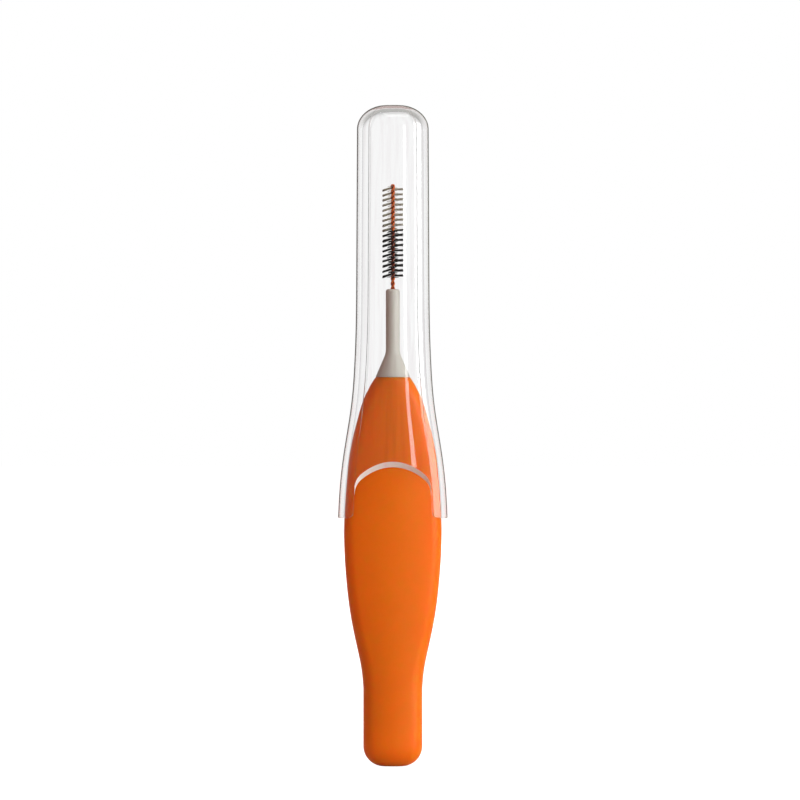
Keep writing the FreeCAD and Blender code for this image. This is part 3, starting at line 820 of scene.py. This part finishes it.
@dataclass
class BristleHead:
    """Rows of filaments pinched by the wire, light at the tip and dark below, with one shared row."""

    wire: TwistedWire
    rows: int = 18
    mixed_row: int = 9
    bunched: int = 20
    crossing: dict[Tone, int] = field(default_factory=lambda: {Tone.LIGHT: 2, Tone.DARK: 14})
    reach: float = 1.3
    fan_height: float = 0.10
    bunching: float = 0.55
    crossing_turn: tuple[float, float] = (math.radians(62), math.radians(88))
    thickness: dict[Tone, float] = field(default_factory=lambda: {Tone.LIGHT: 0.066, Tone.DARK: 0.086})
    tip_share: float = 0.75
    fan_scatter: float = 0.05
    turn_scatter: float = 0.06
    reach_scatter: float = 0.04
    colour_change: float = -0.1
    hump: float = 0.28
    left_slope: float = 0.33
    right_slope: float = 0.05
    hump_reach: float = 0.2
    left_splay: float = 0.03
    right_fork: float = 0.08
    sides: int = 5
    segments: int = 10
    seed: int = 18

    def row_points(self, row: int, generator: np.random.Generator) -> tuple[Array, Array]:
        """Rings of all filaments of a row.

        Most filaments lie bunched across the brush, the rest stand where the twist carries them, towards the
        front and the back. A filament at height h runs along direction a. At distance d from the axis it
        stands at d a, which is x along the width, and at
        h + s (hump + left slope x) + (1 - s) right slope x + splay (d / reach)^2,
        where s = (1 - tanh(x / hump reach)) / 2, as the twist pulls it round at the wire. The right ends
        fork, and the thickness eases to the tips.

        Args:
            row: Row number from the tip.
            generator: Source of the small variations.

        Returns:
            Filaments by rings by points by XYZ, and the height of each filament in its fan from -1 to 1.
        """
        tone = Tone.LIGHT if row < self.mixed_row else Tone.DARK
        crossing = self.crossing[tone]
        count = self.bunched + crossing
        middle = self.wire.front_height - (row - 1) * self.wire.pitch / 2
        fan = np.linspace(-1.0, 1.0, self.bunched) + generator.normal(0.0, self.fan_scatter, self.bunched)
        bunch_turn = 2 * math.pi * fan * self.fan_height / self.wire.pitch * self.bunching
        cross_turn = np.linspace(*self.crossing_turn, crossing // 2)
        cross_turn = np.concatenate([-cross_turn, cross_turn])
        turn = np.concatenate([bunch_turn, cross_turn]) + generator.normal(0.0, self.turn_scatter, count)
        rise = np.concatenate([fan * self.fan_height, cross_turn * self.wire.pitch / (2 * math.pi)])
        height = middle + rise
        along = np.stack([np.cos(turn), np.sin(turn), np.zeros(count)], axis=-1)
        reach = self.reach * (1 - self.reach_scatter * generator.random(count))
        left_splay = generator.normal(0.0, self.left_splay, (count, 1))
        fork_side = generator.choice([-1.0, 1.0], (count, 1))
        right_fork = fork_side * self.right_fork * generator.random((count, 1))
        share = np.linspace(-1.0, 1.0, self.segments + 1)
        distance = share[None] * reach[:, None]
        sideways = distance * along[:, :1]
        left = (1 - np.tanh(sideways / self.hump_reach)) / 2
        lift = (left * (self.hump + self.left_slope * sideways) + (1 - left) * self.right_slope * sideways
                + np.where(share < 0, left_splay, right_fork) * share[None] ** 2)
        line = distance[..., None] * along[:, None]
        line[..., 2] = height[:, None] + lift
        ends = np.abs(share) ** 3
        radius = self.thickness[tone] * (1 - (1 - self.tip_share) * ends) / 2
        across = np.stack([-along[:, 1], along[:, 0], np.zeros(count)], axis=-1)
        round_turn = np.arange(self.sides) * 2 * math.pi / self.sides
        ring = (np.cos(round_turn)[None, :, None] * across[:, None]
                + np.sin(round_turn)[None, :, None] * UP)
        return line[:, :, None] + radius[None, :, None, None] * ring[:, None], rise / self.fan_height

    @staticmethod
    def skins(rings: Array) -> tuple[Array, list]:
        """Close every filament and gather them in one mesh.

        Args:
            rings: Filaments by rings by points by XYZ.

        Returns:
            Points and faces.
        """
        single = [closed_skin(grid) for grid in rings]
        count = len(single[0][0])
        points = np.concatenate([points for points, _ in single])
        faces = [[corner + number * count for corner in face]
                 for number, (_, skin) in enumerate(single) for face in skin]
        return points, faces

    def build(self) -> list[tuple[bpy.types.Object, Tone, str]]:
        """Make every row.

        Returns:
            Pieces with their tone and the CAD node that each stands for.
        """
        generator = np.random.default_rng(self.seed)
        finishes = {Tone.LIGHT: LIGHT_NYLON.build(), Tone.DARK: DARK_NYLON.build()}
        pieces = []
        for row in range(1, self.rows + 1):
            rings, place_in_fan = self.row_points(row, generator)
            light = np.full(len(place_in_fan), row < self.mixed_row)
            if row == self.mixed_row:
                light = place_in_fan >= self.colour_change
            for tone in Tone:
                chosen = light if tone is Tone.LIGHT else ~light
                if not chosen.any():
                    continue
                number = row if tone is Tone.LIGHT else row - self.mixed_row + 1
                points, faces = self.skins(rings[chosen])
                piece = mesh_object(f"{tone.value}_filaments_{number}", points, faces, finishes[tone])
                pieces.append((piece, tone, f"{tone.value}_bristle_row_{number}"))
        return pieces


@dataclass
class ClearCap:
    """Clear cap: a flared oval tube with a domed end and an arched finger notch front and back."""

    grip: GripSleeve
    wall: float = 0.66
    seat_clearance: float = 0.15
    tail_clearance: float = 0.14
    narrowing: float = 0.1
    tube_top: float = 79.5
    inner_top: float = 81.803
    outer_top: float = 82.583
    dome_height: float = 3.0
    dome_width_radius: float = 3.6
    dome_depth_radius: float = 2.4
    mouth_offset: float = 1.8
    notch_half_width: float = 4.75
    notch_half_mouth: float = 4.9
    notch_spring: float = 3.75
    notch_crown: float = 2.6
    notch_rise: float = 0.7
    notch_arch: Oval = Oval(math.radians(60))
    leg_corner: float = 0.7
    base_ring: float = 45.0
    # The lip is frosted where it has more than this share of the notch's slope.
    frost_slope: float = 0.62
    # Rows across the lip, and the last row before it, as shares of the way.
    lip_shares: tuple[float, float, float] = (0.06, 0.5, 0.94)
    edge_share: float = 0.994
    # Points along a quarter of the lip, and rows of the grid.
    arch_points: int = 30
    side_points: int = 14
    corner_points: int = 8
    leg_points: int = 16
    crown_rows: int = 3
    dome_rows: int = 22
    tube_rows: int = 59
    skirt_rows: int = 33
    settling: int = 4
    stations: Array = field(init=False)
    mouth: float = field(init=False)
    inner_face: float = field(init=False)

    def __post_init__(self) -> None:
        """Work out the inside: seated on the grip, flared in to a tube that also fits the tail."""
        seat = self.grip.tapering()[:SEAT_SECTIONS] + self.seat_clearance * np.array([0.0, 1.0, 1.0])
        half_width, half_depth = self.grip.tail[1:] + self.tail_clearance
        tube = np.array([self.grip.core.stem_top, half_width + self.narrowing, half_depth])
        tube_end = np.array([self.tube_top, half_width, half_depth])
        self.stations = np.concatenate([seat, sections_between(seat[-1], tube, FLARE_SHARES),
                                        sections_between(tube, tube_end, TUBE_SHARES)])
        self.mouth = float(self.grip.widest[0]) + self.mouth_offset
        self.inner_face = float(seat[0, 2])

    def half_sizes(self, heights: Array, wall: float) -> tuple[Array, Array]:
        """Half width and half depth of the inside, or of the outside with the wall added."""
        sizes = natural_spline(self.stations, heights) + wall
        return sizes[..., 0], sizes[..., 1]

    def lip_outline(self) -> tuple[Array, Array, Array]:
        """A quarter of the mouth seen from the front: arch, notch side, rounded leg corner and leg end.

        The arch is an oval of four arcs, the corner a quarter circle, the rest straight.

        Returns:
            X, height and the share of the slope that the notch is cut with.
        """
        turn = np.linspace(0.0, math.pi / 2, self.arch_points)
        arch_x, arch_y = self.notch_arch.points(turn, np.full_like(turn, self.notch_half_width),
                                                np.full_like(turn, self.notch_crown))
        spring = self.mouth + self.notch_spring
        arch_z = spring - arch_y
        side_share = np.linspace(0.0, 1.0, self.side_points + 1)[1:]
        corner_top = self.mouth + self.leg_corner
        side_x = self.notch_half_width + (self.notch_half_mouth - self.notch_half_width) * side_share
        side_z = spring + (corner_top - spring) * side_share
        bend = np.linspace(0.0, math.pi / 2, self.corner_points + 1)[1:]
        corner_x = self.notch_half_mouth + self.leg_corner * (1 - np.cos(bend))
        corner_z = corner_top - self.leg_corner * np.sin(bend)
        half_width = float(self.half_sizes(np.array(self.mouth), 0.0)[0])
        end_x = np.linspace(corner_x[-1], half_width, self.leg_points + 1)[1:]
        x = np.concatenate([arch_x, side_x, corner_x, end_x])
        z = np.concatenate([arch_z, side_z, corner_z, np.full(len(end_x), self.mouth)])
        slope = np.concatenate([np.ones(len(arch_x)), (1 - side_share) ** 2,
                                np.zeros(len(corner_x) + len(end_x))])
        return x, z, slope

    def lip_on_wall(self, wall: float) -> tuple[Array, Array]:
        """The quarter outline carried on to a face of the wall.

        The notch is cut on a slope, so a point at depth |y| stands higher by slope (|y| - inner face). Depth
        and height hang on each other, so they settle in a few rounds.

        Args:
            wall: 0 for the inner face, the wall for the outer face.

        Returns:
            Facing angles and heights.
        """
        x, z, share = self.lip_outline()
        steep = share * self.notch_rise / self.wall
        last = len(x) - self.leg_points
        leg = np.linspace(0.0, 1.0, self.leg_points + 1)[1:]
        height = z.copy()
        for _ in range(self.settling):
            half_width, half_depth = self.half_sizes(height, wall)
            along = x.copy()
            along[last:] = x[last - 1] + (half_width[last:] - x[last - 1]) * leg
            facing = OVAL.facing_at(along, half_width, half_depth)
            depth = -OVAL.points(facing, half_width, half_depth)[1]
            height = z + steep * (depth - self.inner_face)
        facing[-1] = math.pi / 2
        return facing, height

    def wall_grid(self, wall: float, top: float, dome_height: float) -> Array:
        """Rings of one face of the cap from the middle of the dome down to the lip.

        The dome insets by radius (1 - cos t) while it drops by height (1 - sin t). The tube has level rings.
        Below the base ring the rows run straight, in facing angle and height, to the lip.

        Args:
            wall: 0 for the inner face, the wall for the outer face.
            top: Height of the top of the dome.
            dome_height: Height of the dome.

        Returns:
            Rings by points by XYZ.
        """
        lip_facing, lip_height = self.lip_on_wall(wall)
        arch = self.arch_points
        base = np.full(len(lip_facing), self.base_ring)
        base_width, base_depth = self.half_sizes(base, wall)
        lip_width, lip_depth = self.half_sizes(lip_height, wall)
        arch_x = OVAL.points(lip_facing, lip_width, lip_depth)[0] * base_width / lip_width
        base_facing = OVAL.facing_at(arch_x, base_width, base_depth)
        base_facing[arch - 1:] = np.linspace(base_facing[arch - 1], math.pi / 2, len(lip_facing) - arch + 1)
        base_facing, lip_facing = self.round_loop(base_facing), self.round_loop(lip_facing)
        lip_height = self.mirror_loop(lip_height)

        dome_start = top - dome_height
        scale = dome_height / self.dome_height
        full_width, full_depth = self.half_sizes(np.array(dome_start), wall)
        turn = np.linspace(math.pi / 2, 0.0, self.dome_rows)
        inset = scale * (1 - np.cos(turn))
        shrink = np.linspace(0.0, 1.0, self.crown_rows + 2)[1:-1]
        dome_width = full_width - self.dome_width_radius * inset
        dome_depth = full_depth - self.dome_depth_radius * inset
        dome_width = np.concatenate([shrink * dome_width[0], dome_width])[:, None]
        dome_depth = np.concatenate([shrink * dome_depth[0], dome_depth])[:, None]
        dome_z = np.concatenate([np.full(self.crown_rows, top), dome_start + dome_height * np.sin(turn)])
        dome_z = dome_z[:, None]
        x, y = OVAL.points(base_facing[None], dome_width, dome_depth)
        dome = np.stack([x, y, np.broadcast_to(dome_z, x.shape)], axis=-1)

        tube_z = np.linspace(dome_start, self.base_ring, self.tube_rows + 1)[1:, None]
        half_width, half_depth = self.half_sizes(tube_z, wall)
        x, y = OVAL.points(base_facing[None], half_width, half_depth)
        tube = np.stack([x, y, np.broadcast_to(tube_z, x.shape)], axis=-1)

        share = np.linspace(0.0, 1.0, self.skirt_rows + 1)[1:, None]
        share = np.concatenate([share[:-1], [[self.edge_share]], share[-1:]])
        facing = base_facing + (lip_facing - base_facing) * share
        height = self.base_ring + (lip_height - self.base_ring) * share
        half_width, half_depth = self.half_sizes(height, wall)
        x, y = OVAL.points(facing, half_width, half_depth)
        skirt = np.stack([x, y, height], axis=-1)
        return np.concatenate([dome, tube, skirt])

    @staticmethod
    def round_loop(quarter: Array) -> Array:
        """Facing angles of the whole loop from those of a quarter, by two mirrors."""
        half = np.concatenate([quarter, math.pi - quarter[-2::-1]])
        return np.concatenate([half, 2 * math.pi - half[-2:0:-1]])

    @staticmethod
    def mirror_loop(quarter: Array) -> Array:
        """Values of the whole loop from those of a quarter, by two mirrors."""
        half = np.concatenate([quarter, quarter[-2::-1]])
        return np.concatenate([half, half[-2:0:-1]])

    def build(self) -> bpy.types.Object:
        """Make the cap as one closed skin: down the outside, across the lip and up the inside.

        Returns:
            The dressed piece.
        """
        outside = self.wall_grid(self.wall, self.outer_top, self.dome_height)
        inside = self.wall_grid(0.0, self.inner_top, self.dome_height - self.wall)[::-1]
        across = np.array(self.lip_shares)[:, None, None]
        lip = outside[-1] + (inside[0] - outside[-1]) * across
        points, faces = closed_skin(np.concatenate([outside, lip, inside]))
        piece = mesh_object("clear_cap", points, faces, CAP_FINISH.build())
        piece.data.materials.append(CUT_FINISH.build())
        sloped = self.mirror_loop(self.lip_outline()[2]) > self.frost_slope
        first = (len(outside) - 1) * len(sloped)
        frosted = np.zeros(len(piece.data.polygons), np.int32)
        frosted[first:first + (len(lip) + 1) * len(sloped)] = np.tile(sloped, len(lip) + 1)
        piece.data.polygons.foreach_set("material_index", frosted)
        return piece


@dataclass(frozen=True)
class Softbox:
    """A soft lamp that looks at the middle of the brush, and that shows in mirror images at most.

    The azimuth counts in degrees to the right of the camera's side, the elevation in degrees above the
    horizon. Sizes are in metres and the power is in watts.
    """

    name: str
    azimuth: float
    elevation: float
    distance: float
    width: float
    height: float
    power: float
    mirrored: bool = True
    aim_height: float = 0.045

    def build(self) -> None:
        """Make the lamp at its distance along its direction."""
        lamp = bpy.data.lights.new(self.name, "AREA")
        lamp.shape = "RECTANGLE"
        lamp.size, lamp.size_y = self.width, self.height
        lamp.energy = self.power
        holder = bpy.data.objects.new(self.name, lamp)
        side, up = math.radians(self.azimuth), math.radians(self.elevation)
        back = Vector((math.sin(side) * math.cos(up), -math.cos(side) * math.cos(up), math.sin(up)))
        holder.location = Vector((0.0, 0.0, self.aim_height)) + back * self.distance
        holder.rotation_euler = (-back).to_track_quat("-Z", "Y").to_euler()
        holder.visible_camera = holder.visible_transmission = False
        holder.visible_glossy = self.mirrored
        bpy.context.scene.collection.objects.link(holder)


@dataclass
class Studio:
    """White floor and surround, soft lamps, and a camera square to the front of the brush."""

    frame_height: float = 0.1
    lens: float = 200.0
    sensor: float = 36.0
    aim: tuple[float, float] = (0.0009, 0.04575)
    floor_radius: float = 2.5
    floor_sides: int = 64
    floor_colour: str = "#B4B4B2"
    floor_roughness: float = 0.9
    floor_glow: float = 0.97
    white: str = "#FFFFFF"
    surround: str = "#A2685E"
    zenith: str = "#BDBDBA"
    zenith_range: tuple[float, float] = (0.08, 0.7)
    mirror_share: float = 0.15
    softboxes: tuple[Softbox, ...] = (
        Softbox("key_softbox", azimuth=60.0, elevation=12.0, distance=0.8, width=0.6, height=0.5, power=6.3),
        Softbox("strip_softbox", azimuth=18.0, elevation=5.0, distance=0.9, width=0.06, height=0.3,
                power=0.45),
        Softbox("front_fill", azimuth=12.0, elevation=65.0, distance=0.9, width=0.5, height=0.4, power=2.1),
        Softbox("rear_fill", azimuth=178.0, elevation=20.0, distance=0.9, width=0.5, height=0.5, power=4.0,
                mirrored=False))

    def build(self) -> None:
        """Set up the view, the surround, the floor, the lamps and the camera."""
        scene = bpy.context.scene
        scene.view_settings.view_transform = "Standard"
        self.make_world(scene)
        self.make_floor()
        for softbox in self.softboxes:
            softbox.build()
        self.make_camera(scene)

    def sight(self, tree: bpy.types.NodeTree) -> tuple[bpy.types.NodeSocket, bpy.types.NodeSocket]:
        """How rays look at the surround.

        Args:
            tree: Node tree of the world or the floor.

        Returns:
            1 for rays of sight and 0 for rays of light, and the share of white that a ray of sight meets:
            1 straight or through clear walls, and the mirror share in mirror images.
        """
        path = add_node(tree, "ShaderNodeLightPath")
        glossy = path.outputs["Is Glossy Ray"]
        direct = add_node(tree, "ShaderNodeMath",
                          {0: path.outputs["Is Camera Ray"], 1: path.outputs["Is Transmission Ray"]},
                          operation="MAXIMUM")
        mirrored = add_node(tree, "ShaderNodeMath", {0: glossy, 1: self.mirror_share}, operation="MULTIPLY")
        white = add_node(tree, "ShaderNodeMath", {0: direct.outputs[0], 1: mirrored.outputs[0]},
                         operation="MAXIMUM")
        seen = add_node(tree, "ShaderNodeMath", {0: direct.outputs[0], 1: glossy}, operation="MAXIMUM")
        return seen.outputs[0], white.outputs[0]

    def make_world(self, scene: bpy.types.Scene) -> None:
        """White where it is seen or seen through, dim in mirror images, and dim and warm where it lights.

        What is seen through clear walls goes grey towards the zenith, above the lit backdrop.

        Args:
            scene: Scene that takes the surround.
        """
        world = bpy.data.worlds.new("studio_surround")
        world.use_nodes = True
        scene.world = world
        tree = world.node_tree
        tree.nodes.clear()
        path = add_node(tree, "ShaderNodeLightPath")
        towards = add_node(tree, "ShaderNodeSeparateXYZ",
                           {0: add_node(tree, "ShaderNodeTexCoord").outputs["Generated"]})
        height = add_node(tree, "ShaderNodeMapRange",
                          {"Value": towards.outputs["Z"], "From Min": self.zenith_range[0],
                           "From Max": self.zenith_range[1]}, interpolation_type="SMOOTHSTEP")
        zenith = add_node(tree, "ShaderNodeMath",
                          {0: height.outputs["Result"], 1: path.outputs["Is Transmission Ray"]},
                          operation="MULTIPLY")
        pale = add_node(tree, "ShaderNodeMix",
                        {"Factor": zenith.outputs[0], "A": linear_rgba(self.white),
                         "B": linear_rgba(self.zenith)}, data_type="RGBA")
        seen, white_share = self.sight(tree)
        lighting = add_node(tree, "ShaderNodeMath", {0: 1.0, 1: seen}, operation="SUBTRACT")
        dim = add_node(tree, "ShaderNodeBackground",
                       {"Color": linear_rgba(self.surround), "Strength": lighting.outputs[0]})
        white = add_node(tree, "ShaderNodeBackground", {"Color": pale.outputs["Result"], "Strength": 1.0})
        mixed = add_node(tree, "ShaderNodeMixShader",
                         {0: white_share, 1: dim.outputs[0], 2: white.outputs[0]})
        add_node(tree, "ShaderNodeOutputWorld", {"Surface": mixed.outputs[0]})

    def make_floor(self) -> None:
        """A round floor under the tail that glows white where it is seen."""
        turn = np.arange(self.floor_sides) * 2 * math.pi / self.floor_sides
        ring = np.stack([np.cos(turn), np.sin(turn), np.zeros_like(turn)], axis=-1) * self.floor_radius / MM
        material, tree, output = new_material("white_floor")
        glow = add_node(tree, "ShaderNodeMath", {0: self.sight(tree)[1], 1: self.floor_glow},
                        operation="MULTIPLY")
        shader = add_node(tree, "ShaderNodeBsdfPrincipled",
                          {"Base Color": linear_rgba(self.floor_colour), "Roughness": self.floor_roughness,
                           "Specular IOR Level": 0.0, "Emission Color": linear_rgba(self.white),
                           "Emission Strength": glow.outputs[0]})
        tree.links.new(shader.outputs[0], output.inputs["Surface"])
        mesh_object("studio_floor", ring, [list(range(self.floor_sides))], material)

    def make_camera(self, scene: bpy.types.Scene) -> None:
        """A long lens, level and square to the front.

        Args:
            scene: Scene that takes the camera.
        """
        data = bpy.data.cameras.new("front_camera")
        data.lens, data.sensor_width = self.lens, self.sensor
        camera = bpy.data.objects.new("front_camera", data)
        distance = self.frame_height * self.lens / self.sensor
        camera.location = (self.aim[0], -distance, self.aim[1])
        camera.rotation_euler = (math.pi / 2, 0.0, 0.0)
        scene.collection.objects.link(camera)
        scene.camera = camera


def main() -> None:
    """Load the frame, set up the studio, and build and dress every piece."""
    logging.basicConfig(level=logging.INFO, format="%(name)s: %(message)s")
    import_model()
    Studio().build()
    core = HandleCore()
    place(core.build(), Body.HANDLE, Slot.CORE, "handle_core")
    grip = GripSleeve(core)
    place(grip.build(), Body.HANDLE, Slot.GRIP, "grip_sleeve")
    wire = TwistedWire()
    place(wire.build(), Body.HANDLE, Slot.WIRE, "twisted_wire")
    for piece, tone, node in BristleHead(wire).build():
        place(piece, Body.HANDLE, Slot.LIGHT_NYLON if tone is Tone.LIGHT else Slot.DARK_NYLON, node)
    place(ClearCap(grip).build(), Body.CAP, Slot.CAP, "cap")


if __name__ == "__main__":
    main()
